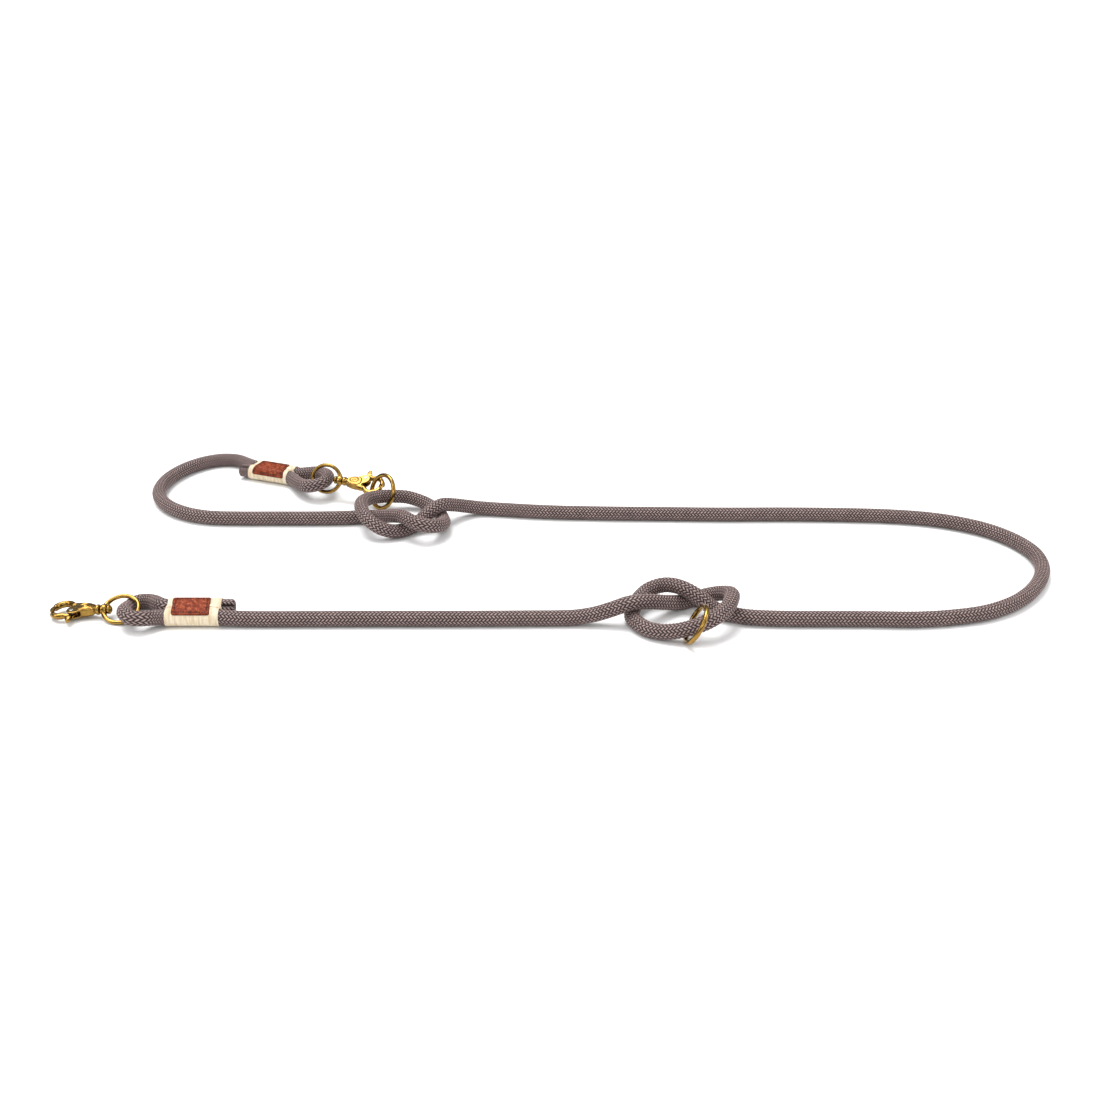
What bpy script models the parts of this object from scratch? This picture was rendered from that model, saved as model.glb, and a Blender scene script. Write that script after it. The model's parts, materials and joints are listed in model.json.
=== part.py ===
"""Adjustable rope training leash: a braided rope with two knotted-in O-rings and two trigger snap hooks.

The leash lies on a flat surface. Z is up, +X runs along its longest side and the origin is the middle of
its footprint at floor level. Lengths are written in millimetres and become metres in MM. A hook is drawn
in its own frame: X runs from the swivel eye to the jaw's tip, Y to the thumb tab and Z through the plate.
"""
import math

import bmesh
import bpy
from mathutils import Matrix, Vector

MM = 0.001

# Driving dimensions, in millimetres
ROPE_D = 10.0            # braided rope
ROPE_SEGMENT = 25.0      # longest straight piece of a faceted rope tube
ROPE_TURN = 11.0         # most that the tube turns between two of its points, in degrees
GAP = 0.8                # gap between the ends of two rope stretches
CENTRE = (10.4, 8.05)     # middle of the footprint in the route's coordinates

WHIPPING_LENGTH = 35.0
WHIPPING_WALL = 0.6
STRAND_PITCH = 10.3      # distance between the two strands in a whipping
PATCH_LENGTH = 24.0
PATCH_THICKNESS = 1.2
THREAD_D = 0.7
THREAD_INSET = 1.9
THREAD_INSET_ANGLE = 15  # the same inset along the curved edges, in degrees round a strand

RING_R = 12.6            # O-ring, at the middle of its wire
RING_WIRE_R = 1.6

HOOK_HALF = 2.5          # half of the jaw's thickness
BODY_HALF = 3.2          # half of the body's thickness between the neck and the jaw
RAISED_PLATE = ((6.8, -2.9), (12.0, -4.2), (17.4, -4.4), (18.1, 0.0), (17.2, 4.6), (12.0, 4.2), (6.8, 2.9))
PIN_R = 0.9
PIVOT = (20.0, 4.8)      # pin of the moving jaw
JAW_CENTRE = 27.5
JAW_OUTER = (8.5, 9.6)   # half axes of the jaw's outer edge
JAW_INNER = (5.3, 6.3)   # half axes of the hole
EYE_HALF_LENGTH = 11.6   # swivel eye, at the middle of its wire
EYE_HALF_WIDTH = 10.4
EYE_WIRE_R = 1.35
SHANK_R = 1.3

# Route of the rope's centreline, from the tail at the dog's end to the tail at the handle
ROUTE = {
    "rope_clip_eye": [
        (-205, -108.3, 8.7), (-212, -108.3, 8.7), (-220, -108.3, 8.7), (-243, -108.3, 8.7),
        (-250.3, -108.3, 8.7), (-255.4, -104.6, 8.1), (-261.6, -95.6, 5.5), (-267.2, -92.9, 5), (-272.5, -94.3, 5.1),
        (-276.4, -100, 5), (-275, -119.8, 10.3), (-269, -127, 10), (-263, -126.8, 9.4), (-256.8, -121.2, 7.1),
        (-250.6, -118.4, 6), (-243, -118.3, 6), (-220, -118.3, 6), (-213.5, -118.3, 6)],
    "rope_lower_run": [
        (-200, -118.5, 5.2), (-175, -118.5, 5), (-120, -118, 5), (-60, -118, 5), (-20, -117.5, 5)],
    "rope_lower_knot": [
        (5, -117.2, 5), (18, -117, 5.6), (30, -117.3, 8), (41, -117.8, 12), (51, -117, 15.4), (63, -111.8, 14.2),
        (76, -102.5, 9), (87, -94.6, 5.2), (96.5, -88.8, 5), (104, -86.8, 6.2), (111.3, -88.5, 8.6), (117, -95, 12),
        (119, -104.5, 15.2), (117.3, -114, 15.9), (113.5, -124, 15.4), (108, -132, 14.8), (101, -138, 13.4),
        (94, -140.5, 11.5), (86, -141.2, 9.2), (78, -140, 7), (70, -137.5, 5.6), (62, -132.5, 5),
        (56, -124, 5), (53.2, -114, 5), (55, -103.5, 5.6), (59, -94.2, 8), (65.5, -87.8, 11), (73.5, -87, 13.8),
        (81, -90.8, 15.8), (89, -97, 15.9), (98, -102.3, 12.4), (107, -106.3, 6.6), (116, -110.8, 5),
        (126, -115, 5), (138, -117, 5)],
    "rope_long_span": [
        (155, -118, 5), (185, -118.2, 5), (212, -118.5, 5), (238, -119, 5), (262, -116, 5), (286, -109, 5),
        (309, -94, 5), (329, -70, 5), (341, -44, 5), (343.5, -20, 5), (337, 2, 5), (324, 21, 5),
        (306, 35, 5), (283, 45, 5), (255, 50.5, 5), (222, 53, 5), (180, 54.2, 5), (130, 54, 5),
        (85, 55, 5), (40, 56.2, 5), (5, 58, 5), (-18, 60.5, 5)],
    "rope_upper_knot": [
        (-38, 63.5, 5), (-53, 65, 5.6), (-64, 62, 8.2), (-73, 55, 12.2), (-81, 46.5, 15.6), (-88, 40, 13.4),
        (-95, 35.5, 8.6), (-101, 31, 5.4), (-107, 25, 5), (-113.5, 21, 5.6), (-121, 18.5, 8), (-128, 19.5, 11.4),
        (-134.5, 25.5, 14.6), (-138.5, 36, 15.7), (-140.5, 48, 15.4), (-139.5, 59.5, 13.8), (-134.8, 68.7, 12.2),
        (-127.5, 74.3, 11), (-118.5, 77, 10), (-109, 77.8, 9), (-100, 75.5, 7.2), (-91, 69.5, 5.4),
        (-84.5, 59, 5), (-80.5, 47, 5), (-78.5, 35.5, 6.4), (-80, 24.5, 9), (-85.5, 15.5, 12), (-93, 12.5, 14.4),
        (-100.5, 16.5, 15.6), (-107.5, 24.5, 15.5), (-114, 33, 12.6), (-121.5, 42, 8.6), (-129.5, 48.2, 5.4),
        (-140, 49, 5), (-152, 47.5, 5)],
    "rope_handle_loop": [
        (-175, 46.5, 5), (-205, 46.5, 5), (-232, 46.5, 5), (-254, 48, 5), (-271, 54, 5), (-286, 65, 5),
        (-297, 79.5, 5), (-303.5, 97, 5), (-304, 117, 5), (-299, 136, 5), (-290, 152, 5), (-278, 163, 5)],
    "rope_handle_eye": [
        (-265, 167.4, 5), (-254, 165, 5), (-244.5, 156, 5.5), (-235.5, 148.1, 5.95), (-229.9, 145.8, 5.95),
        (-207.8, 136.7, 5.95), (-202.2, 134.4, 5.95), (-198.5, 132.9, 6.2), (-193, 130.7, 7.5), (-186.5, 127.5, 9.3), (-179, 121, 11.2),
        (-173.8, 111, 13), (-173.2, 100.5, 14), (-177, 92.2, 14), (-184.5, 91.8, 12.4), (-193, 101.5, 9.2),
        (-199.5, 114, 7), (-204.6, 123.4, 6.1), (-207.6, 125.5, 5.95), (-211.7, 127.2, 5.95), (-233.9, 136.3, 5.95), (-239.4, 138.6, 5.95),
        (-248.5, 142.2, 5.8)],
}

# Whippings: centre, direction, roll of the cross-section, and the patch from one side to the other
LOWER_WHIPPING = {"centre": (-231.5, -113.3, 7.4), "heading": 0.0, "roll": 15.5, "patch": (58, 134)}
UPPER_WHIPPING = {"centre": (-220.8, 136.5, 6.0), "heading": -22.4, "roll": 0.0, "patch": (75, 180)}

# O-rings: centre and the normal of the ring's plane
LOWER_RING = {"centre": (92.5, -142.1, 13.1), "normal": (-0.877, 0.0, 0.481)}
UPPER_RING = {"centre": (-127.6, 76.5, 14.0), "normal": (0.68, 0.63, -0.375)}

# Hooks: the point in the middle of the eye's boss, where the long axis points, and the roll of body and eye
CLIP = {"boss": (-291.9, -107.0, 6.0), "heading": 174.6, "pitch": -3.5, "body_roll": -3.0, "eye_roll": -30.0}
HANDLE = {"boss": (-162.0, 94.6, 15.8), "heading": -17.9, "pitch": -1.5, "body_roll": 20.0, "eye_roll": 68.0}


def material(name, color, roughness, metallic):
    mat = bpy.data.materials.new(name)
    mat.use_nodes = True
    shader = mat.node_tree.nodes["Principled BSDF"]
    shader.inputs["Base Color"].default_value = (*color, 1.0)
    shader.inputs["Roughness"].default_value = roughness
    shader.inputs["Metallic"].default_value = metallic
    mat.diffuse_color = (*color, 1.0)
    return mat


def empty(name, matrix, parent=None):
    obj = bpy.data.objects.new(name, None)
    bpy.context.collection.objects.link(obj)
    obj.empty_display_size = 0.01
    obj.parent = parent
    obj.matrix_world = matrix
    return obj


def mesh_object(name, bm, mat, parent=None, matrix=None):
    """Turns a bmesh drawn in millimetres into an object, with its faces pointing out."""
    bmesh.ops.recalc_face_normals(bm, faces=bm.faces)
    bmesh.ops.scale(bm, vec=(MM, MM, MM), verts=bm.verts)
    mesh = bpy.data.meshes.new(name)
    bm.to_mesh(mesh)
    bm.free()
    mesh.shade_smooth()
    mesh.set_sharp_from_angle(angle=math.radians(35))
    obj = bpy.data.objects.new(name, mesh)
    bpy.context.collection.objects.link(obj)
    if mat:
        mesh.materials.append(mat)
    obj.parent = parent
    if matrix is not None:
        obj.matrix_local = matrix
    return obj


def catmull_rom(points, step=2.0):
    """Centripetal Catmull-Rom curve through the points, sampled about every step millimetres."""
    pts = [Vector(p) for p in points]
    pts = [2 * pts[0] - pts[1]] + pts + [2 * pts[-1] - pts[-2]]
    curve = []
    for p0, p1, p2, p3 in zip(pts, pts[1:], pts[2:], pts[3:]):
        t1 = (p1 - p0).length ** 0.5
        t2 = t1 + (p2 - p1).length ** 0.5
        t3 = t2 + (p3 - p2).length ** 0.5
        count = max(2, round((p2 - p1).length / step))
        for i in range(count):
            t = t1 + (t2 - t1) * i / count
            a1 = p0 * ((t1 - t) / t1) + p1 * (t / t1)
            a2 = p1 * ((t2 - t) / (t2 - t1)) + p2 * ((t - t1) / (t2 - t1))
            a3 = p2 * ((t3 - t) / (t3 - t2)) + p3 * ((t - t2) / (t3 - t2))
            b1 = a1 * ((t2 - t) / t2) + a2 * (t / t2)
            b2 = a2 * ((t3 - t) / (t3 - t1)) + a3 * ((t - t1) / (t3 - t1))
            curve.append(b1 * ((t2 - t) / (t2 - t1)) + b2 * ((t - t1) / (t2 - t1)))
    curve.append(pts[-2])
    return curve


def thin_out(curve, longest, most_turn):
    """Keeps a point of the curve wherever it has turned or run on far enough since the last one kept."""
    kept, turned = curve[:2], 0.0
    for before, here, after in zip(curve[1:], curve[2:], curve[3:]):
        turned += math.degrees((here - before).angle(after - here, 0.0))
        if turned >= most_turn or (here - kept[-1]).length >= longest:
            kept.append(here)
            turned = 0.0
    if (curve[-1] - kept[-1]).length < ROPE_D / 2:
        kept.pop()
    return kept + curve[-2:]


def shortened(curve, start, end):
    """The curve with a little cut off at its ends."""
    curve = [p.copy() for p in curve]
    if start:
        curve[0] += (curve[1] - curve[0]).normalized() * start
    if end:
        curve[-1] += (curve[-2] - curve[-1]).normalized() * end
    return curve


def rope_stretches(mat):
    """One smooth curve through the whole route, cut into the tubes of the stretches."""
    shift = Vector((*CENTRE, 0.0))
    names = list(ROUTE)
    whole = [Vector(p) - shift for name in names for p in ROUTE[name]]
    curve = catmull_rom(whole)
    for point in curve:
        point.z = max(point.z, ROPE_D / 2)
    cuts, first = [], 0
    for name in names[1:]:
        first += len(ROUTE[names[names.index(name) - 1]])
        target = whole[first]
        cuts.append(min(range(len(curve)), key=lambda i: (curve[i] - target).length))
    bounds = [0] + cuts + [len(curve) - 1]
    for name, start, end in zip(names, bounds, bounds[1:]):
        part = thin_out(curve[start:end + 1], ROPE_SEGMENT, ROPE_TURN)
        part = shortened(part, GAP / 2 if start else 0, GAP / 2 if end < len(curve) - 1 else 0)
        rope_tube(name, part, mat)


def rope_tube(name, points, mat):
    data = bpy.data.curves.new(name, "CURVE")
    data.dimensions = "3D"
    data.bevel_depth = ROPE_D / 2 * MM
    data.bevel_resolution = 3
    data.use_fill_caps = True
    spline = data.splines.new("POLY")
    spline.points.add(len(points) - 1)
    for slot, point in zip(spline.points, points):
        slot.co = (*(point * MM), 1.0)
    data.materials.append(mat)
    obj = bpy.data.objects.new(name, data)
    bpy.context.collection.objects.link(obj)
    return obj


def loft(bm, sections, closed_path):
    """Skins a row of equal closed sections; an open path is capped at both ends."""
    rows = [[bm.verts.new(p) for p in section] for section in sections]
    pairs = list(zip(rows, rows[1:])) + ([(rows[-1], rows[0])] if closed_path else [])
    count = len(rows[0])
    for row, nxt in pairs:
        for i in range(count):
            j = (i + 1) % count
            bm.faces.new((row[i], row[j], nxt[j], nxt[i]))
    if not closed_path:
        bm.faces.new(rows[0])
        bm.faces.new(rows[-1])


def wire_loop(path, radius, sides, closed=True, up=Vector((0, 0, 1))):
    """A round wire along a path, whose sections stay upright to the given direction."""
    bm = bmesh.new()
    sections = []
    count = len(path)
    for i, point in enumerate(path):
        before = path[i - 1] if closed or i else point
        after = path[(i + 1) % count] if closed or i < count - 1 else point
        along = (after - before).normalized()
        side = along.cross(up).normalized()
        lift = side.cross(along)
        angles = [2 * math.pi * k / sides for k in range(sides)]
        sections.append([point + radius * (side * math.cos(a) + lift * math.sin(a)) for a in angles])
    loft(bm, sections, closed)
    return bm


def prism(outline, z0, z1):
    bm = bmesh.new()
    loft(bm, [[Vector((x, y, z)) for x, y in outline] for z in (z0, z1)], False)
    return bm


def turned(profile, sides=20):
    """A solid turned about X, from (x, radius) pairs."""
    bm = bmesh.new()
    sections = []
    for x, radius in profile:
        angles = [2 * math.pi * k / sides for k in range(sides)]
        sections.append([Vector((x, radius * math.cos(a), radius * math.sin(a))) for a in angles])
    loft(bm, sections, False)
    return bm


def ellipse_arc(half_axes, start, end, step=12.0):
    """Points of the jaw's ellipse between two angles in degrees."""
    count = max(1, math.ceil(abs(end - start) / step))
    angles = [math.radians(start + (end - start) * i / count) for i in range(count + 1)]
    return [(JAW_CENTRE + half_axes[0] * math.cos(a), half_axes[1] * math.sin(a)) for a in angles]


def circle_arc(centre, radius, start, end, step=20.0):
    count = max(1, math.ceil(abs(end - start) / step))
    angles = [math.radians(start + (end - start) * i / count) for i in range(count + 1)]
    return [(centre[0] + radius * math.cos(a), centre[1] + radius * math.sin(a)) for a in angles]


def boolean(obj, bm, operation, matrix=None):
    """Adds a Boolean modifier with a hidden tool made from a bmesh."""
    tool = mesh_object(f"tool_{obj.name}_{len(obj.modifiers)}", bm, None, obj, matrix)
    tool.display_type = "WIRE"
    tool.hide_render = True
    modifier = obj.modifiers.new(operation.title(), "BOOLEAN")
    modifier.operation = operation
    modifier.object = tool
    modifier.solver = "EXACT"


def bevel(obj, width):
    modifier = obj.modifiers.new("Bevel", "BEVEL")
    modifier.width = width * MM
    modifier.segments = 1
    modifier.limit_method = "ANGLE"
    modifier.angle_limit = math.radians(50)


def hook_body(name, mat, parent):
    """Neck and fixed jaw: a thick plate with a slot for the moving jaw and a bore for the swivel shank."""
    body = mesh_object(name, prism(
        [(5.0, -3.0), (8.0, -3.7), (12.0, -4.7), (16.0, -4.9)]
        + ellipse_arc(JAW_OUTER, -152, 4)
        + ellipse_arc(JAW_INNER, 4, -165)
        + [(22.3, 0.0)]
        + circle_arc(PIVOT, 3.2, -25, 105)
        + [(16.0, 5.3), (12.0, 4.7), (8.0, 3.7), (5.0, 3.0)], -HOOK_HALF, HOOK_HALF), mat, parent)
    bevel(body, 0.5)
    upper_lap = prism(ellipse_arc(JAW_OUTER, -4, 40) + ellipse_arc(JAW_INNER, 40, -4), 0.2, HOOK_HALF - 0.1)
    boolean(body, upper_lap, "UNION")
    boolean(body, prism(RAISED_PLATE, -BODY_HALF, BODY_HALF), "UNION")
    boolean(body, turned([(2.6, 3.1), (3.2, 3.5), (5.2, 3.5), (7.4, 2.6)], 16), "UNION")
    boolean(body, prism([(16.2, 1.4), (25.0, 1.4), (25.0, 9.0), (16.2, 9.0)], -1.75, 1.75), "DIFFERENCE")
    boolean(body, turned([(0.0, SHANK_R + 0.2), (11.0, SHANK_R + 0.2)], 12), "DIFFERENCE")
    boolean(body, turned([(-4.0, PIN_R + 0.2), (4.0, PIN_R + 0.2)], 12), "DIFFERENCE", PIN_FRAME)
    return body


def gate(name, mat, parent):
    """Moving jaw: a tongue in the body's slot, the arm, the half lap at the tip and the thumb tab."""
    jaw = mesh_object(name, prism(
        ellipse_arc((8.6, 10.0), 43, 112)
        + [(23.2, 9.6), (22.3, 12.6), (20.9, 15.0), (19.4, 15.6), (18.3, 14.6), (18.4, 11.4), (19.2, 8.6)]
        + [(23.6, 8.2)]
        + ellipse_arc((5.3, 6.5), 122, 43), -HOOK_HALF + 0.1, HOOK_HALF - 0.3), mat, parent)
    bevel(jaw, 0.4)
    tongue = prism(circle_arc(PIVOT, 2.5, 150, 320) + [(24.0, 5.6), (25.4, 6.6), (25.4, 8.8), (20.0, 9.2)]
                   + [(18.6, 8.9)], -1.5, -0.1)
    boolean(jaw, tongue, "UNION")
    lower_lap = prism(ellipse_arc((8.4, 9.6), 10, 50) + ellipse_arc((5.4, 6.5), 50, 10), -HOOK_HALF + 0.2, -0.1)
    boolean(jaw, lower_lap, "UNION")
    boolean(jaw, turned([(-4.0, PIN_R + 0.2), (4.0, PIN_R + 0.2)], 12), "DIFFERENCE", PIN_FRAME)
    return jaw


def gate_spring(name, mat, parent):
    """Torsion spring round the pin, with one leg on the slot's wall and one on the moving jaw."""
    turns, per_turn, coil_r, wire_r, pitch = 2.0, 10, 1.7, 0.2, 0.45
    path = [Vector((PIVOT[0] - 3.0, PIVOT[1] - 2.0, 0.25)), Vector((PIVOT[0] - 1.5, PIVOT[1] - 1.9, 0.25))]
    for i in range(int(turns * per_turn) + 5):
        a = math.radians(-90) + 2 * math.pi * i / per_turn
        z = 0.25 + pitch * i / per_turn
        path.append(Vector((PIVOT[0] + coil_r * math.cos(a), PIVOT[1] + coil_r * math.sin(a), z)))
    path.append(path[-1] + Vector((1.0, -0.4, 0.0)))
    return mesh_object(name, wire_loop(path, wire_r, 5, closed=False), mat, parent)


def swivel_eye(name, mat, parent):
    """Oblong wire eye with a thick boss, bored for the swivel shank."""
    count = 32
    path = [Vector((EYE_HALF_LENGTH * (math.cos(a) - 1), EYE_HALF_WIDTH * math.sin(a), 0))
            for a in (2 * math.pi * i / count for i in range(count))]
    eye = mesh_object(name, wire_loop(path, EYE_WIRE_R, 8), mat, parent)
    boolean(eye, turned([(-2.2, 2.2), (-1.6, 2.9), (1.6, 3.1), (2.2, 2.6)], 16), "UNION")
    boolean(eye, turned([(-6.0, SHANK_R + 0.2), (6.0, SHANK_R + 0.2)], 12), "DIFFERENCE")
    return eye


PIN_FRAME = Matrix.Translation(Vector((*PIVOT, 0)) * MM) @ Matrix.Rotation(math.radians(90), 4, "Y")


def hook(prefix, place, mats):
    """One trigger snap hook: the eye, the body that turns in it and the moving jaw on its pin."""
    base = (Matrix.Translation((Vector(place["boss"]) - Vector((*CENTRE, 0))) * MM)
            @ Matrix.Rotation(math.radians(place["heading"]), 4, "Z")
            @ Matrix.Rotation(-math.radians(place["pitch"]), 4, "Y"))
    eye_axis = empty(f"{prefix}_eye_frame", base @ Matrix.Rotation(math.radians(place["eye_roll"]), 4, "X"))
    body_axis = empty(f"{prefix}_body_frame", base @ Matrix.Rotation(math.radians(place["body_roll"]), 4, "X"),
                      eye_axis)
    gate_axis = empty(f"{prefix}_gate_frame", body_axis.matrix_world, body_axis)
    swivel_eye(f"{prefix}_swivel_eye", mats["brass"], eye_axis)
    hook_body(f"{prefix}_hook_body", mats["brass"], body_axis)
    mesh_object(f"{prefix}_swivel_rivet", turned(
        [(-4.9, 1.0), (-4.3, 2.1), (-3.3, 2.7), (-2.5, 2.7), (-2.45, SHANK_R), (10.6, SHANK_R)], 12),
        mats["brass"], body_axis)
    mesh_object(f"{prefix}_gate_pin", turned(
        [(-2.85, 1.1), (-2.7, 1.5), (-2.65, PIN_R), (2.65, PIN_R), (2.7, 1.5), (2.85, 1.1)], 12),
        mats["steel"], body_axis, PIN_FRAME)
    gate(f"{prefix}_gate", mats["brass"], gate_axis)
    gate_spring(f"{prefix}_gate_spring", mats["steel"], body_axis)


def o_ring(name, place, mat):
    normal = Vector(place["normal"]).normalized()
    count = 28
    path = [Vector((RING_R * math.cos(a), RING_R * math.sin(a), 0))
            for a in (2 * math.pi * i / count for i in range(count))]
    frame = (Matrix.Translation((Vector(place["centre"]) - Vector((*CENTRE, 0))) * MM)
             @ Vector((0, 0, 1)).rotation_difference(normal).to_matrix().to_4x4())
    return mesh_object(name, wire_loop(path, RING_WIRE_R, 8), mat, None, frame)


def stadium(radius, start=0.0, end=360.0, step=15.0):
    """Points round two strands side by side along Y, from one angle to another, counted from +Y over +Z."""
    points = []
    count = max(1, math.ceil((end - start) / step - 1e-6))
    for i in range(count + 1):
        angle = math.radians(start + (end - start) * i / count)
        y, z = radius * math.cos(angle), radius * math.sin(angle)
        if abs(math.cos(angle)) > 1e-6:
            points.append(Vector((0, y + math.copysign(STRAND_PITCH / 2, y), z)))
        else:
            first = math.copysign(STRAND_PITCH / 2, z)
            points += [Vector((0, first, z)), Vector((0, -first, z))]
    return points


def whipping(prefix, place, mats):
    """A wrapped band round both strands, with a leather patch sewn over its top."""
    frame = empty(f"{prefix}_whipping_frame", Matrix.Translation(
        (Vector(place["centre"]) - Vector((*CENTRE, 0))) * MM)
        @ Matrix.Rotation(math.radians(place["heading"]), 4, "Z")
        @ Matrix.Rotation(math.radians(place["roll"]), 4, "X"))
    inner = ROPE_D / 2 + 0.4
    outer = inner + WHIPPING_WALL
    bm = bmesh.new()
    half = WHIPPING_LENGTH / 2
    rows = []
    for radius, x in ((outer, -half), (outer, half), (inner, half), (inner, -half)):
        rows.append([p + Vector((x, 0, 0)) for p in stadium(radius)[:-1]])
    loft(bm, rows, True)
    mesh_object(f"{prefix}_whipping", bm, mats["twine"], frame)

    low, high = place["patch"]
    sections = []
    for x in (-PATCH_LENGTH / 2, PATCH_LENGTH / 2):
        under = stadium(outer + 0.2, low, high)
        over = stadium(outer + 0.2 + PATCH_THICKNESS, low, high)
        sections.append([p + Vector((x, 0, 0)) for p in under + over[::-1]])
    bm = bmesh.new()
    loft(bm, sections, False)
    mesh_object(f"{prefix}_patch", bm, mats["leather"], frame)

    lift = outer + 0.2 + PATCH_THICKNESS + 0.1 + THREAD_D / 2
    arc = stadium(lift, low + THREAD_INSET_ANGLE, high - THREAD_INSET_ANGLE)
    end = PATCH_LENGTH / 2 - THREAD_INSET
    path = [p + Vector((end, 0, 0)) for p in arc] + [p + Vector((-end, 0, 0)) for p in arc[::-1]]
    bm = bmesh.new()
    loft(bm, thread_sections(path), True)
    mesh_object(f"{prefix}_patch_thread", bm, mats["thread"], frame)


def thread_sections(path):
    """Square sections along the thread's loop: half of each lies along the patch, half stands off it."""
    sections = []
    half = THREAD_D / 2
    for i, point in enumerate(path):
        along = (path[(i + 1) % len(path)] - path[i - 1]).normalized()
        side_y = STRAND_PITCH / 2 if point.y > 0 else -STRAND_PITCH / 2
        off = Vector((0, point.y - side_y, point.z)).normalized()
        side = along.cross(off).normalized()
        stretch = 1.3
        sections.append([point + side * (a * half * stretch) + off * (b * half)
                         for a, b in ((-1, -1), (1, -1), (1, 1), (-1, 1))])
    return sections


def build():
    for obj in list(bpy.data.objects):
        bpy.data.objects.remove(obj, do_unlink=True)
    mats = {
        "rope": material("braided_rope", (0.13, 0.10, 0.10), 0.8, 0.0),
        "twine": material("waxed_twine", (0.80, 0.72, 0.58), 0.6, 0.0),
        "leather": material("leather", (0.33, 0.08, 0.03), 0.5, 0.0),
        "thread": material("dark_thread", (0.05, 0.02, 0.015), 0.7, 0.0),
        "brass": material("polished_brass", (0.75, 0.50, 0.13), 0.2, 1.0),
        "steel": material("spring_steel", (0.5, 0.5, 0.5), 0.35, 1.0),
    }
    rope_stretches(mats["rope"])
    whipping("lower", LOWER_WHIPPING, mats)
    whipping("upper", UPPER_WHIPPING, mats)
    o_ring("lower_ring", LOWER_RING, mats["brass"])
    o_ring("upper_ring", UPPER_RING, mats["brass"])
    hook("clip", CLIP, mats)
    hook("handle", HANDLE, mats)


build()
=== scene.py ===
"""Looks of the training leash: a braided rope, twine whippings, leather patches and brass fittings.

Everything is in metres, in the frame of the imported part: Z is up and the origin is the middle of the
footprint at floor level. The rope follows the same route as the CAD solids. Each brass hook is drawn in
its own frame, in millimetres: X runs from the swivel eye to the jaw's tip, Y to the thumb tab and Z
through the plate.
"""

import json
import math

import bpy
import numpy as np
from mathutils import Matrix, Vector


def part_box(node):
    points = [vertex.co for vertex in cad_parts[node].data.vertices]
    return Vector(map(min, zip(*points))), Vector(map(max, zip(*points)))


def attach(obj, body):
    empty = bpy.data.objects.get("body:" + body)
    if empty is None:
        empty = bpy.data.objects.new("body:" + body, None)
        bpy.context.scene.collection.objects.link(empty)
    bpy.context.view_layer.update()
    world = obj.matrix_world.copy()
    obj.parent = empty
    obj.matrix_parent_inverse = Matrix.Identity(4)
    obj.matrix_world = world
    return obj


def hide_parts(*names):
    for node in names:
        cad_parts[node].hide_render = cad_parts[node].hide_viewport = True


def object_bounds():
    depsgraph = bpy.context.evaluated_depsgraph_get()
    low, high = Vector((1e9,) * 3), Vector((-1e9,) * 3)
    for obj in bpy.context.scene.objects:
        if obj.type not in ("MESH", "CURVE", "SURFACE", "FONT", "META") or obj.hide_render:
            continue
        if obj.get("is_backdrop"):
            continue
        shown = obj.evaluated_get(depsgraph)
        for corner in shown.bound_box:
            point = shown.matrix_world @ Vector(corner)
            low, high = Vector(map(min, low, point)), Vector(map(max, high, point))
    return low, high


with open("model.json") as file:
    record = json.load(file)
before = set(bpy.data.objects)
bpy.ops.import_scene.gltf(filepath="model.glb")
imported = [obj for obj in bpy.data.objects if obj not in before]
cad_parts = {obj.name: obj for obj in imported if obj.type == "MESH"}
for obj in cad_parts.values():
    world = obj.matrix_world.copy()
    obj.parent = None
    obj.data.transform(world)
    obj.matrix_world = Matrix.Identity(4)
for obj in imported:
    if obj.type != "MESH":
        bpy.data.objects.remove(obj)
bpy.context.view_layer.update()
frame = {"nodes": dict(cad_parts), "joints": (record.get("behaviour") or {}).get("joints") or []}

MM = 0.001
JOINTS = {joint["name"]: joint for joint in frame["joints"]}
HOOKS = ("clip", "handle")

# ----------------------------------------------------------------------------------- driving sizes
ROPE_D = 0.010
CENTRE = (0.0104, 0.00805)     # middle of the footprint in the route's coordinates
COLUMNS = 16                   # columns of floats round the braid, each one strand pitch wide
PICK = 0.00253                 # distance between two strands of a column, along the rope
RINGS_PER_PICK = 6             # rings of mesh points in that distance
POINTS_PER_COLUMN = 6
CREST = 0.0052                 # radius at the top of a strand
STRAND_DEPTH = 0.0008          # from there down to the deepest gap
STRAND_GAP = 0.8               # share of that depth in the gaps between strands of a column
COLUMN_GAP = 0.26              # and between the columns
STRAND_LEAN = 0.34             # slant of a strand, in picks from its middle to the side of its column

END_ROUNDING = 0.0022          # length over which a cut end is rounded
FOLD_LENGTH = 0.004            # length over which a tail's groove grows to full depth
FOLD_DEPTH = 0.0026
WHIPPED_TIGHTER = 0.08         # share of its radius that the rope loses inside a whipping
EYE_PRESS = (0.07, 0.012)      # share of its radius lost under a hook's eye, and reach of the dent

TWINE_D = 0.00052
TWINE_TWIST = 0.0009           # length of one turn of the twine's plies
TIE_LANES = (-2, -1, 0, 1, 2)  # cross turns side by side on each face of a whipping
STRAND_PITCH = 0.0103          # distance between the two strands in a whipping
WHIPPING_LENGTH = 0.035
BAND_R = 0.0054                # middle of the twine, from the middle of a strand
PATCH_LENGTH = 0.0245
PATCH_UNDER = 0.0055           # underside of the leather, from the middle of a strand
PATCH_THICKNESS = 0.0008
PATCH_SHIFT = {"lower": -0.0011, "upper": 0.0}     # along the whipping
PATCH_SHEAR = {"lower": 0.0012, "upper": 0.0018}   # of its near edge along its far edge
PATCH_FLARE = {"lower": 0.0, "upper": 0.15}        # how much longer its near edge is
PATCH_ARC = {"lower": (60, 126), "upper": (75, 172)}   # degrees from +Y over +Z
PATCH_GRID = (150, 110)
PATCH_CORNER = 0.0013
PATCH_EDGE = 0.0006            # rounding of its upper edge
STITCH_INSET = 0.0019
STITCH_PITCH = 0.00175
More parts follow.
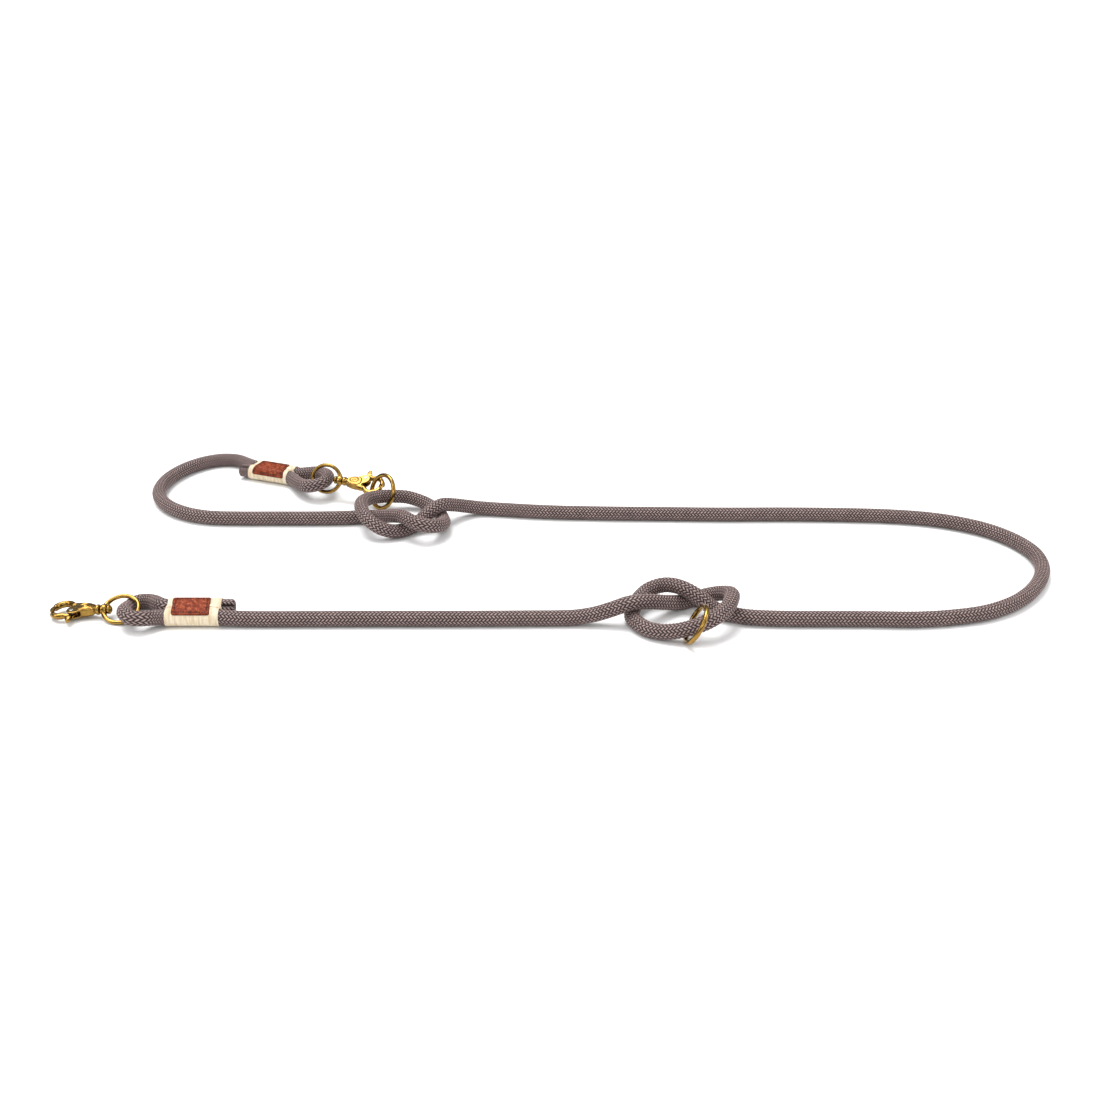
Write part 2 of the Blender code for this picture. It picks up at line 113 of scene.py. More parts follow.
STITCH_SPAN = (0.24, 0.76)     # part of each pitch in which the thread shows
STITCH_R = 0.0004

RING_WIRE_R = 0.00168
RING_R = 0.0126
EYE_ROLL = {"clip": -27.0, "handle": 48.0}   # of the eye, from the roll of the hook's body
PIVOT = (20.0, 4.8)                          # pin of the moving jaw, in the hook's frame

TAIL = 0.012                                 # length of rope beyond a whipping
GROOVE_LOWER = (0.0, -0.80, 0.60)            # side on which each tail is folded in
GROOVE_UPPER = (-0.25, -0.35, 0.90)

FLOOR_HALF = 60.0
CAMERA_TARGET = (-CENTRE[0], -CENTRE[1], 0.0)
CAMERA_DISTANCE = 1.10
CAMERA_ELEVATION = 24.5

# Route of the rope's centreline, from the tail at the dog's end to the tail at the handle
ROUTE = [
    (-0.205, -0.1083, 0.0087), (-0.212, -0.1083, 0.0087), (-0.22, -0.1083, 0.0087), (-0.243, -0.1083, 0.0087),
    (-0.2503, -0.1083, 0.0087), (-0.2554, -0.1046, 0.0081), (-0.2616, -0.0956, 0.0055),
    (-0.2672, -0.0929, 0.005), (-0.2725, -0.0943, 0.0051), (-0.2764, -0.1, 0.005), (-0.275, -0.1198, 0.0103),
    (-0.269, -0.127, 0.01), (-0.263, -0.1268, 0.0094), (-0.2568, -0.1212, 0.0071), (-0.2506, -0.1184, 0.006),
    (-0.243, -0.1183, 0.006), (-0.22, -0.1183, 0.006), (-0.2135, -0.1183, 0.006), (-0.2, -0.1185, 0.0052),
    (-0.175, -0.1185, 0.005), (-0.12, -0.118, 0.005), (-0.06, -0.118, 0.005), (-0.02, -0.1175, 0.005),
    # the lower knot
    (0.005, -0.1172, 0.005), (0.018, -0.117, 0.0056), (0.03, -0.1173, 0.008), (0.041, -0.1178, 0.012),
    (0.051, -0.117, 0.0154), (0.063, -0.1118, 0.0142), (0.076, -0.1025, 0.009), (0.087, -0.0946, 0.0052),
    (0.0965, -0.0888, 0.005), (0.104, -0.0868, 0.0062), (0.1113, -0.0885, 0.0086), (0.117, -0.095, 0.012),
    (0.119, -0.1045, 0.0152), (0.1173, -0.114, 0.0159), (0.1135, -0.124, 0.0154), (0.108, -0.132, 0.0148),
    (0.101, -0.138, 0.0134), (0.094, -0.1405, 0.0115), (0.086, -0.1412, 0.0092), (0.078, -0.14, 0.007),
    (0.07, -0.1375, 0.0056), (0.062, -0.1325, 0.005), (0.056, -0.124, 0.005), (0.0532, -0.114, 0.005),
    (0.055, -0.1035, 0.0056), (0.059, -0.0942, 0.008), (0.0655, -0.0878, 0.011), (0.0735, -0.087, 0.0138),
    (0.081, -0.0908, 0.0158), (0.089, -0.097, 0.0159), (0.098, -0.1023, 0.0124), (0.107, -0.1063, 0.0066),
    (0.116, -0.1108, 0.005), (0.126, -0.115, 0.005), (0.138, -0.117, 0.005),
    # the long span and its hairpin bend
    (0.155, -0.118, 0.005), (0.185, -0.1182, 0.005), (0.212, -0.1185, 0.005), (0.238, -0.119, 0.005),
    (0.262, -0.116, 0.005), (0.286, -0.109, 0.005), (0.309, -0.094, 0.005), (0.329, -0.07, 0.005),
    (0.341, -0.044, 0.005), (0.3435, -0.02, 0.005), (0.337, 0.002, 0.005), (0.324, 0.021, 0.005),
    (0.306, 0.035, 0.005), (0.283, 0.045, 0.005), (0.255, 0.0505, 0.005), (0.222, 0.053, 0.005),
    (0.18, 0.0542, 0.005), (0.13, 0.054, 0.005), (0.085, 0.055, 0.005), (0.04, 0.0562, 0.005),
    (0.005, 0.058, 0.005), (-0.018, 0.0605, 0.005),
    # the upper knot
    (-0.038, 0.0635, 0.005), (-0.053, 0.065, 0.0056), (-0.064, 0.062, 0.0082), (-0.073, 0.055, 0.0122),
    (-0.081, 0.0465, 0.0156), (-0.088, 0.04, 0.0134), (-0.095, 0.0355, 0.0086), (-0.101, 0.031, 0.0054),
    (-0.107, 0.025, 0.005), (-0.1135, 0.021, 0.0056), (-0.121, 0.0185, 0.008), (-0.128, 0.0195, 0.0114),
    (-0.1345, 0.0255, 0.0146), (-0.1385, 0.036, 0.0157), (-0.1405, 0.048, 0.0154), (-0.1395, 0.0595, 0.0138),
    (-0.1348, 0.0687, 0.0122), (-0.1275, 0.0743, 0.011), (-0.1185, 0.077, 0.01), (-0.109, 0.0778, 0.009),
    (-0.1, 0.0755, 0.0072), (-0.091, 0.0695, 0.0054), (-0.0845, 0.059, 0.005), (-0.0805, 0.047, 0.005),
    (-0.0785, 0.0355, 0.0064), (-0.08, 0.0245, 0.009), (-0.0855, 0.0155, 0.012), (-0.093, 0.0125, 0.0144),
    (-0.1005, 0.0165, 0.0156), (-0.1075, 0.0245, 0.0155), (-0.114, 0.033, 0.0126), (-0.1215, 0.042, 0.0086),
    (-0.1295, 0.0482, 0.0054), (-0.14, 0.049, 0.005), (-0.152, 0.0475, 0.005),
    # the handle loop
    (-0.175, 0.0465, 0.005), (-0.205, 0.0465, 0.005), (-0.232, 0.0465, 0.005), (-0.254, 0.048, 0.005),
    (-0.271, 0.054, 0.005), (-0.286, 0.065, 0.005), (-0.297, 0.0795, 0.005), (-0.3035, 0.097, 0.005),
    (-0.304, 0.117, 0.005), (-0.299, 0.136, 0.005), (-0.29, 0.152, 0.005), (-0.278, 0.163, 0.005),
    # the eye round the handle's hook
    (-0.265, 0.1674, 0.005), (-0.254, 0.165, 0.005), (-0.2445, 0.156, 0.0055), (-0.2355, 0.1481, 0.00595),
    (-0.2299, 0.1458, 0.00595), (-0.2078, 0.1367, 0.00595), (-0.2022, 0.1344, 0.00595),
    (-0.1985, 0.1329, 0.0062), (-0.193, 0.1307, 0.0075), (-0.1865, 0.1275, 0.0093), (-0.179, 0.121, 0.0112),
    (-0.1738, 0.111, 0.013), (-0.1732, 0.1005, 0.014), (-0.177, 0.0922, 0.014), (-0.1845, 0.0918, 0.0124),
    (-0.193, 0.1015, 0.0092), (-0.1995, 0.114, 0.007), (-0.2046, 0.1234, 0.0061), (-0.2076, 0.1255, 0.00595),
    (-0.2117, 0.1272, 0.00595), (-0.2339, 0.1363, 0.00595), (-0.2394, 0.1386, 0.00595),
    (-0.2485, 0.1422, 0.0058),
]


# ----------------------------------------------------------------------------------- mesh building
def new_mesh(name, points, blocks, uvs=None, values=None):
    """A smooth mesh from arrays. Each of the blocks holds faces with one number of corners, uvs a pair for
    each corner, and values, by name, a number for each point."""
    mesh = bpy.data.meshes.new(name)
    counts = np.concatenate([np.full(len(block), block.shape[1]) for block in blocks])
    corners = np.concatenate([block.ravel() for block in blocks])
    mesh.vertices.add(len(points))
    mesh.vertices.foreach_set("co", np.asarray(points, np.float32).ravel())
    mesh.loops.add(len(corners))
    mesh.loops.foreach_set("vertex_index", corners.astype(np.int32))
    mesh.polygons.add(len(counts))
    mesh.polygons.foreach_set("loop_start", (np.cumsum(counts) - counts).astype(np.int32))
    if uvs is not None:
        mesh.uv_layers.new(name="UVMap").data.foreach_set("uv", np.asarray(uvs, np.float32).ravel())
    for key, numbers in (values or {}).items():
        attribute = mesh.attributes.new(key, "FLOAT", "POINT")
        attribute.data.foreach_set("value", np.asarray(numbers, np.float32).ravel())
    mesh.update(calc_edges=True)
    mesh.validate()
    mesh.shade_smooth()
    return mesh


def new_object(name, mesh, material, place=None):
    """An object whose mesh is moved to its place, so that its bounding box is exact."""
    if place is not None:
        mesh.transform(place)
    obj = bpy.data.objects.new(name, mesh)
    bpy.context.scene.collection.objects.link(obj)
    mesh.materials.clear()
    mesh.materials.append(material)
    return obj


def tube_quads(count, around, closed=False):
    """Faces between rings of points, row by row."""
    i = np.arange(count if closed else count - 1)[:, None]
    j = np.arange(around)[None, :]
    after, beside = (i + 1) % count, (j + 1) % around
    quads = (i * around + j, i * around + beside, after * around + beside, after * around + j)
    return np.stack(quads, -1).reshape(-1, 4)


def skin(rows, closed=False):
    """Points and faces of a tube through equal rings, with flat ends unless the tube closes on itself."""
    count, around = rows.shape[:2]
    blocks = [tube_quads(count, around, closed)]
    if not closed:
        ring = np.arange(around)
        blocks.append(np.stack([ring[::-1], ring + (count - 1) * around]))
    return rows.reshape(-1, 3), blocks


def joined(parts):
    """Several (points, faces) as one."""
    blocks, base = [], 0
    for part_points, part_blocks in parts:
        blocks += [block + base for block in part_blocks]
        base += len(part_points)
    return np.concatenate([part_points for part_points, _ in parts]), blocks


def frames_along(path, closed=False, up=(0, 0, 1)):
    """Unit vectors along, beside and above a path, carried along it without twisting."""
    if closed:
        along = np.roll(path, -1, 0) - np.roll(path, 1, 0)
    else:
        along = np.gradient(path, axis=0)
    along /= np.linalg.norm(along, axis=1)[:, None]
    above = np.empty_like(along)
    carried = np.asarray(up, float)
    for i, direction in enumerate(along):
        carried = carried - direction * (carried @ direction)
        carried /= np.linalg.norm(carried)
        above[i] = carried
    return along, np.cross(along, above), above


def sweep(path, radius, sides=12, closed=False, up=(0, 0, 1), flat=None):
    """A tube along a path. radius is its half width, and flat its half height where that differs."""
    path = np.asarray(path, float)
    _, beside, above = frames_along(path, closed, up)
    angles = np.arange(sides) * 2 * math.pi / sides
    wide = np.broadcast_to(np.asarray(radius, float), (len(path),))[:, None, None]
    high = wide if flat is None else np.broadcast_to(np.asarray(flat, float), (len(path),))[:, None, None]
    rows = (path[:, None] + beside[:, None] * np.cos(angles)[None, :, None] * wide
            + above[:, None] * np.sin(angles)[None, :, None] * high)
    return skin(rows, closed)


def turned(profile, sides=48, closed=False):
    """A solid turned about X from (x, radius) pairs. It is a ring if its profile closes on itself."""
    angles = np.arange(sides) * 2 * math.pi / sides
    rows = np.array([[(x, r * math.cos(a), r * math.sin(a)) for a in angles] for x, r in profile])
    return skin(rows, closed)


def run_along(path):
    """Distance from the start of a path to each of its points."""
    return np.concatenate([[0], np.cumsum(np.linalg.norm(np.diff(path, axis=0), axis=1))])


def resampled(path, step):
    """The same line with points an even distance apart, and its length."""
    run = run_along(path)
    count = max(2, int(round(run[-1] / step)) + 1)
    places = np.linspace(0, run[-1], count)
    return np.stack([np.interp(places, run, path[:, k]) for k in range(3)], 1), run[-1]


def catmull_rom(points, step):
    """Centripetal Catmull-Rom curve through the points."""
    pts = [np.asarray(p, float) for p in points]
    pts = [2 * pts[0] - pts[1]] + pts + [2 * pts[-1] - pts[-2]]
    curve = []
    for p0, p1, p2, p3 in zip(pts, pts[1:], pts[2:], pts[3:]):
        t1 = np.linalg.norm(p1 - p0) ** 0.5
        t2 = t1 + np.linalg.norm(p2 - p1) ** 0.5
        t3 = t2 + np.linalg.norm(p3 - p2) ** 0.5
        count = max(2, round(np.linalg.norm(p2 - p1) / step))
        for t in t1 + (t2 - t1) * np.arange(count) / count:
            a1 = p0 * ((t1 - t) / t1) + p1 * (t / t1)
            a2 = p1 * ((t2 - t) / (t2 - t1)) + p2 * ((t - t1) / (t2 - t1))
            a3 = p2 * ((t3 - t) / (t3 - t2)) + p3 * ((t - t2) / (t3 - t2))
            b1 = a1 * ((t2 - t) / t2) + a2 * (t / t2)
            b2 = a2 * ((t3 - t) / (t3 - t1)) + a3 * ((t - t1) / (t3 - t1))
            curve.append(b1 * ((t2 - t) / (t2 - t1)) + b2 * ((t - t1) / (t2 - t1)))
    curve.append(pts[-2])
    return np.array(curve)


# --------------------------------------------------------------------------------------- materials
def linear(*rgb):
    """A colour given as 0 to 255 display values, as Blender's linear one."""
    return tuple(((c / 255 + 0.055) / 1.055) ** 2.4 if c > 10 else c / 255 / 12.92 for c in rgb) + (1.0,)


class Nodes:
    """Short forms for building one material's nodes."""

    def __init__(self, name):
        self.material = bpy.data.materials.new(name)
        self.material.use_nodes = True
        self.tree = self.material.node_tree
        self.shader = self.tree.nodes["Principled BSDF"]

    def add(self, kind, values=None, **settings):
        node = self.tree.nodes.new("ShaderNode" + kind)
        for key, value in settings.items():
            setattr(node, key, value)
        for key, value in (values or {}).items():
            self.feed(node.inputs[key], value)
        return node

    def feed(self, socket, value):
        if isinstance(value, bpy.types.NodeSocket):
            self.tree.links.new(value, socket)
        else:
            socket.default_value = value

    def math(self, operation, *inputs):
        return self.add("Math", dict(enumerate(inputs)), operation=operation).outputs[0]

    def ramp(self, factor, stops):
        node = self.add("ValToRGB", {0: factor})
        elements = node.color_ramp.elements
        while len(elements) < len(stops):
            elements.new(0.5)
        for element, (place, colour) in zip(elements, stops):
            element.position = place
            element.color = colour
        return node.outputs[0]

    def spread(self, value, low, high, to_low, to_high):
        """A value's range stretched to another range, and held at its ends."""
        return self.add("MapRange", {0: value, 1: low, 2: high, 3: to_low, 4: to_high}).outputs[0]

    def noise(self, scale, detail=3.0, vector=None, roughness=0.5):
        values = {"Scale": scale, "Detail": detail, "Roughness": roughness}
        if vector is not None:
            values["Vector"] = vector
        return self.add("TexNoise", values).outputs[0]

    def mix(self, factor, a, b, blend="MIX"):
        node = self.add("Mix", data_type="RGBA", blend_type=blend)
        for index, value in ((0, factor), (6, a), (7, b)):
            self.feed(node.inputs[index], value)
        return node.outputs[2]

    def position(self):
        return self.add("TexCoord").outputs["Object"]

    def value(self, name):
        """One of the numbers that the mesh keeps for each point."""
        return self.add("Attribute", attribute_name=name).outputs["Fac"]

    def bump(self, height, distance, strength):
        return self.add("Bump", {"Height": height, "Distance": distance, "Strength": strength}).outputs[0]

    def set(self, **values):
        """Gives the shader's inputs their values; their names have _ for a space."""
        for key, value in values.items():
            self.feed(self.shader.inputs[key.replace("_", " ")], value)


def rope_material():
    """Grey-brown polyester braid: painted shade in the gaps, painted highlight on the crests, fine filaments
    along each strand.
    """
    n = Nodes("braided_rope")
    u, v = n.add("SeparateXYZ", {0: n.add("UVMap", uv_map="UVMap").outputs[0]}).outputs[:2]
    parity = n.math("FLOORED_MODULO", n.math("FLOOR", u), 2.0)
    across = n.math("MULTIPLY_ADD", n.math("FRACT", u), 2.0, -1.0)
    sign = n.math("MULTIPLY_ADD", parity, -2.0, 1.0)
    lag = n.math("MULTIPLY", n.math("MULTIPLY", sign, across), STRAND_LEAN)
    strand = n.math("SUBTRACT", n.math("MULTIPLY_ADD", parity, -0.5, v), lag)
    seed = n.add("CombineXYZ", {0: n.math("FLOOR", u), 1: n.math("ROUND", strand)}).outputs[0]
    own = n.add("TexWhiteNoise", {"Vector": seed}, noise_dimensions="2D").outputs[0]
    filament = n.math("SINE", n.math("MULTIPLY", strand, 2 * math.pi * 7))
    place = n.math("ABSOLUTE", n.math("SUBTRACT", strand, n.math("ROUND", strand)))
    # the same height over the strand as the mesh has
    strand_dip = n.math("MULTIPLY", n.math("POWER", n.math("MULTIPLY", place, 2.0), 1.7), STRAND_GAP)
    column_dip = n.math("MULTIPLY", n.math("MULTIPLY", across, across), COLUMN_GAP)
    crest = n.math("SUBTRACT", n.math("SUBTRACT", 1.0, strand_dip), column_dip)
    # painted shade and painted highlight: the colour runs from near black in the gaps between strands and
    # columns to pale on the crests
    tint = n.ramp(crest, [(0.1, linear(6, 3, 3)), (0.36, linear(22, 14, 14)), (0.6, linear(72, 57, 55)),
                          (0.84, linear(130, 110, 107)), (1.0, linear(180, 158, 154))])
    strand_shade = n.ramp(own, [(0.0, (0.80, 0.80, 0.80, 1)), (1.0, (1.12, 1.12, 1.12, 1))])
    tint = n.mix(0.8, tint, strand_shade, "MULTIPLY")
    wear = n.ramp(n.noise(55.0, 4.0, n.position()),
                  [(0.3, (0.90, 0.89, 0.88, 1)), (0.7, (1.05, 1.05, 1.06, 1))])
    tint = n.mix(1.0, tint, wear, "MULTIPLY")
    sealed = n.value("sealed")
    tint = n.mix(sealed, tint, linear(58, 48, 47))
    n.set(Base_Color=tint, Roughness=n.spread(sealed, 0.0, 1.0, 0.58, 0.35), Sheen_Weight=0.06,
          Sheen_Roughness=0.4, Specular_IOR_Level=0.3,
          Normal=n.bump(filament, 0.00003, 0.6))
    return n.material


def twine_material():
    """Cream waxed thread with the twist of its plies showing."""
    n = Nodes("waxed_twine")
    u, v = n.add("SeparateXYZ", {0: n.add("UVMap", uv_map="UVMap").outputs[0]}).outputs[:2]
    twist = n.math("SINE", n.math("MULTIPLY", n.math("ADD", u, v), 2 * math.pi))
    along = n.add("Mapping", {"Vector": n.position(), "Scale": (2.2, 0.35, 0.35)}).outputs[0]
    patchy = n.noise(320.0, 3.0, along)
    tint = n.ramp(patchy, [(0.36, linear(218, 198, 164)), (0.6, linear(248, 238, 218))])
    tint = n.mix(n.spread(twist, -1.0, 1.0, 0.0, 0.55), tint, linear(214, 190, 152))
    n.set(Base_Color=tint, Roughness=n.spread(patchy, 0.0, 1.0, 0.42, 0.62), Specular_IOR_Level=0.5,
          Sheen_Weight=0.15, Subsurface_Weight=0.06, Subsurface_Scale=0.001,
          Normal=n.bump(twist, 0.00006, 0.8))
    return n.material


def leather_material():
    """Vegetable-tanned leather: fine pebbled grain, cloudy colour, darker burnished edges."""
    n = Nodes("leather")
    at = n.position()
    edge = n.value("edge")
    cloud = n.noise(420.0, 6.0, at, 0.75)
    tint = n.ramp(cloud, [(0.34, linear(66, 18, 6)), (0.5, linear(122, 46, 19)),
                          (0.66, linear(176, 90, 54))])
    tint = n.mix(n.spread(edge, 0.0, 1.0, 0.7, 0.0), tint, linear(70, 26, 14))
    cells = n.add("TexVoronoi", {"Vector": at, "Scale": 1700.0}, feature="DISTANCE_TO_EDGE").outputs[0]
    pores = n.noise(4200.0, 2.0, at)
    tint = n.mix(n.spread(cells, 0.0, 0.06, 0.35, 0.0), tint, linear(84, 31, 16))
    grain = n.math("ADD", n.spread(cells, 0.0, 0.12, 0.0, 1.0), n.math("MULTIPLY", pores, 0.4))
    n.set(Base_Color=tint, Roughness=n.spread(cloud, 0.3, 0.7, 0.6, 0.46), Specular_IOR_Level=0.14,
          Normal=n.bump(grain, 0.00005, 0.5))
    return n.material


def thread_material():
    """Dark waxed sewing thread."""
    n = Nodes("dark_thread")
    fibres = n.noise(3000.0, 2.0, n.position())
    n.set(Base_Color=n.ramp(fibres, [(0.3, linear(16, 6, 4)), (0.7, linear(38, 16, 10))]), Roughness=0.6,
          Normal=n.bump(fibres, 0.00005, 0.5))
    return n.material


def brass_material(name, handled, waviness):
    """Polished brass, with soft casting waves, hairlines and a browner tone where it is handled less."""
    n = Nodes(name)
    at = n.position()
    waves = n.noise(150.0, 2.0, at)
    smudge = n.noise(420.0, 4.0, at, 0.6)
    hairs = n.noise(900.0, 3.0, n.add("Mapping", {"Vector": at, "Scale": (1.0, 9.0, 3.0)}).outputs[0], 0.7)
    tint = n.ramp(smudge, [(0.3, linear(136, 103, 44)), (0.6, linear(158, 126, 66)),
                           (0.8, linear(172, 143, 86))])
    tint = n.mix(n.spread(n.noise(90.0, 3.0, at), 0.45, 0.75, 0.0, 1.0 - handled), tint, linear(98, 66, 22))
    height = n.math("ADD", waves, n.math("MULTIPLY", hairs, 0.05))
    n.set(Base_Color=tint, Metallic=1.0, Roughness=n.spread(smudge, 0.3, 0.75, 0.13, 0.27),
          Normal=n.bump(height, 0.00025, waviness))
    return n.material


def steel_material():
    """Drawn steel wire and pin, with faint streaks."""
    n = Nodes("spring_steel")
    stretched = n.add("Mapping", {"Vector": n.position(), "Scale": (1, 1, 12)}).outputs[0]
    streaks = n.noise(700.0, 3.0, stretched)
    n.set(Base_Color=n.ramp(streaks, [(0.3, linear(140, 138, 134)), (0.7, linear(178, 176, 172))]),
          Metallic=1.0, Roughness=n.spread(streaks, 0.2, 0.8, 0.25, 0.42))
    return n.material


# --------------------------------------------------------------------------------- camera and rope
def add_camera():
    """The photo's view: from the front, well above the floor."""
    data = bpy.data.cameras.new("camera")
    data.lens = 50.0
    data.sensor_width = 36.0
    camera = bpy.data.objects.new("camera", data)
    bpy.context.scene.collection.objects.link(camera)
    tilt = math.radians(CAMERA_ELEVATION)
    camera.location = Vector(CAMERA_TARGET) + CAMERA_DISTANCE * Vector((0, -math.cos(tilt), math.sin(tilt)))
    camera.rotation_euler = (math.pi / 2 - tilt, 0, 0)
    bpy.context.scene.camera = camera


def braid_height(run, column):
    """Height of the braid, 0 in its gaps and 1 on its crests. run is in picks and column in columns."""
    best = np.zeros(np.broadcast_shapes(run.shape, column.shape))
    own = np.floor(column)
    for step in (-1, 0, 1):
        number = own + step
        odd = number % 2
        across = 2 * (column - number) - 1
        place = run - 0.5 * odd - (1 - 2 * odd) * across * STRAND_LEAN
        place = place - np.round(place)
        best = np.maximum(best, 1 - STRAND_GAP * np.abs(2 * place) ** 1.7 - COLUMN_GAP * across ** 2)
    return np.clip(best, 0, 1)


def centreline():
    """The rope's middle line, with points a ring apart, and its length."""
    line = catmull_rom(ROUTE, 0.001) - np.array([*CENTRE, 0.0])
    line[:, 2] = np.maximum(line[:, 2], ROPE_D / 2)
    line, _ = resampled(line, 0.0005)
    window = np.hanning(13)[1:-1]
    padded = np.concatenate([np.repeat(line[:1], 5, 0), line, np.repeat(line[-1:], 5, 0)])
    smooth = np.stack([np.convolve(padded[:, k], window / window.sum(), "valid") for k in range(3)], 1)
    smooth[:6], smooth[-6:] = line[:6], line[-6:]
    return resampled(smooth, PICK / RINGS_PER_PICK)


def squeeze(line, place):
    """How far each point of the rope is inside a whipping, from 0 to 1."""
    inverse = np.array(place.inverted())
    local = line @ inverse[:3, :3].T + inverse[:3, 3]
    deep = np.clip((WHIPPING_LENGTH / 2 - np.abs(local[:, 0])) / 0.003 + 0.5, 0, 1)
    return deep * (np.abs(local[:, 1]) < 0.012) * (np.abs(local[:, 2]) < 0.009)


def braided_rope(material, whipping_places):
    """The whole rope as one mesh, with its braid in relief and its two folded, heat-sealed tails."""
    line, length = centreline()
    _, beside, above = frames_along(line)
    count, around = len(line), COLUMNS * POINTS_PER_COLUMN
    column = np.arange(around) / POINTS_PER_COLUMN
    run = np.arange(count) / RINGS_PER_PICK
    angle = column * 2 * math.pi / COLUMNS

    crest = braid_height(run[:, None], column[None, :])
    radius = CREST - STRAND_DEPTH * (1 - crest)
    tight = np.maximum(*(squeeze(line, place) for place in whipping_places))
    radius *= (1 - WHIPPED_TIGHTER * tight)[:, None]
    dent, reach = EYE_PRESS
    for hook in HOOKS:
        away = np.linalg.norm(line - np.array(JOINTS[f"{hook}_eye_tip"]["pos_m"]), axis=1)
        radius *= (1 - dent * np.exp(-(away / reach) ** 4))[:, None]

    # each end is folded in by its whipping, which leaves a deep groove, and the cut is sealed by heat
    distance = np.minimum(np.arange(count), np.arange(count)[::-1]) * length / (count - 1)
    sealed = np.zeros_like(crest)
    halves = (np.arange(count) < count / 2, np.arange(count) >= count / 2)
    for half, row, toward in zip(halves, (0, -1), (GROOVE_LOWER, GROOVE_UPPER)):
        groove_at = math.atan2(np.dot(toward, above[row]), np.dot(toward, beside[row]))
        depth = (half * np.clip((TAIL - distance) / FOLD_LENGTH, 0, 1) ** 0.8)[:, None]
        off = (angle - groove_at + math.pi) % (2 * math.pi) - math.pi
        groove = np.exp(-(off / 0.22) ** 2) + 0.6 * np.exp(-((np.abs(off) - math.pi) / 0.3) ** 2)
        radius -= depth * groove * FOLD_DEPTH
        sealed = np.maximum(sealed, depth * np.exp(-(off / 0.16) ** 2) * 0.9)
    rounding = 1 - (1 - np.clip(distance / END_ROUNDING, 0, 1)) ** 2
    radius *= np.sqrt(np.clip(rounding, 0.02, 1))[:, None]
    sealed = np.maximum(sealed, np.clip(1 - distance / 0.0009, 0, 1)[:, None])

    rows = (line[:, None] + beside[:, None] * (np.cos(angle) * radius)[..., None]
            + above[:, None] * (np.sin(angle) * radius)[..., None])
    quads = tube_quads(count, around)
    uv = np.empty((count - 1, around, 4, 2), np.float32)
    uv[..., 0, 0] = uv[..., 3, 0] = column[None, :]
    uv[..., 1, 0] = uv[..., 2, 0] = column[None, :] + 1 / POINTS_PER_COLUMN
    uv[..., 0, 1] = uv[..., 1, 1] = run[:-1, None]
    uv[..., 2, 1] = uv[..., 3, 1] = run[1:, None]
    # the ends are closed by fans round one point each
    ring = np.arange(around)
    turn = (ring + 1) % around
    base, first = (count - 1) * around, np.full(around, count * around)
    fans = np.concatenate([np.stack([turn, ring, first], 1),
                           np.stack([ring + base, turn + base, first + 1], 1)])
    points = np.concatenate([rows.reshape(-1, 3), line[:1], line[-1:]])
    mesh = new_mesh("braided_rope", points, [quads, fans], np.append(uv, np.zeros(fans.size * 2)),
                    {"sealed": np.append(sealed, [1, 1])})
    rope = new_object("braided_rope", mesh, material)
    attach(rope, "rope")
    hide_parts(*[name for name in frame["nodes"] if name.startswith("rope_")])


# --------------------------------------------------------------------------- whippings and patches
def axes_of(node):
    """Middle of a CAD node, and its axes from the longest to the shortest."""
    points = np.array([v.co for v in frame["nodes"][node].data.vertices], float)
    low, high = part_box(node)
    middle = np.array((low + high) / 2)
    _, _, axes = np.linalg.svd(points - points.mean(0), full_matrices=False)
    return middle, axes


def whipping_frame(prefix):
    """A whipping's own frame: X along it, Z away from the floor."""
    middle, axes = axes_of(f"{prefix}_whipping")
    x = axes[0] * np.sign(axes[0][0])
    z = axes[2] * np.sign(axes[2][2])
    y = np.cross(z, x)
    return Matrix.Translation(middle) @ Matrix(np.array([x, y, z]).T.tolist()).to_4x4()


def stadium(distance, radius):
    """Y and Z at a distance round two strands side by side, from the middle of the flat top towards -Y,
    and the whole way round."""
    half, arc = STRAND_PITCH / 2, math.pi * radius
    total = 4 * half + 2 * arc
    d = np.asarray(distance, float) % total
    turn_1 = (d - half) / radius
    turn_2 = (d - 3 * half - arc) / radius
    sections = [d < half, d < half + arc, d < 3 * half + arc, d < 3 * half + 2 * arc]
    flat = radius + 0 * d
    y = np.select(sections, [-d, -half - radius * np.sin(turn_1), -half + (d - half - arc),
                             half + radius * np.sin(turn_2)], half - (d - 3 * half - 2 * arc))
    z = np.select(sections, [flat, radius * np.cos(turn_1), -flat, -radius * np.cos(turn_2)], flat)
    return y, z, total


def thread(name, path, radius, sides, material, place):
    """A thread along a path, whose texture runs once round it for each twist of its plies."""
    points, blocks = sweep(path, radius, sides)
    run = run_along(path) / TWINE_TWIST
    uv = np.empty((len(path) - 1, sides, 4, 2))
    uv[..., 0, 0] = uv[..., 1, 0] = run[:-1, None]
    uv[..., 2, 0] = uv[..., 3, 0] = run[1:, None]
    uv[..., 0, 1] = uv[..., 3, 1] = np.arange(sides) / sides
    uv[..., 1, 1] = uv[..., 2, 1] = np.arange(1, sides + 1) / sides
    mesh = new_mesh(name, points, blocks, np.append(uv, np.zeros(4 * sides)))
    return new_object(name, mesh, material, place)


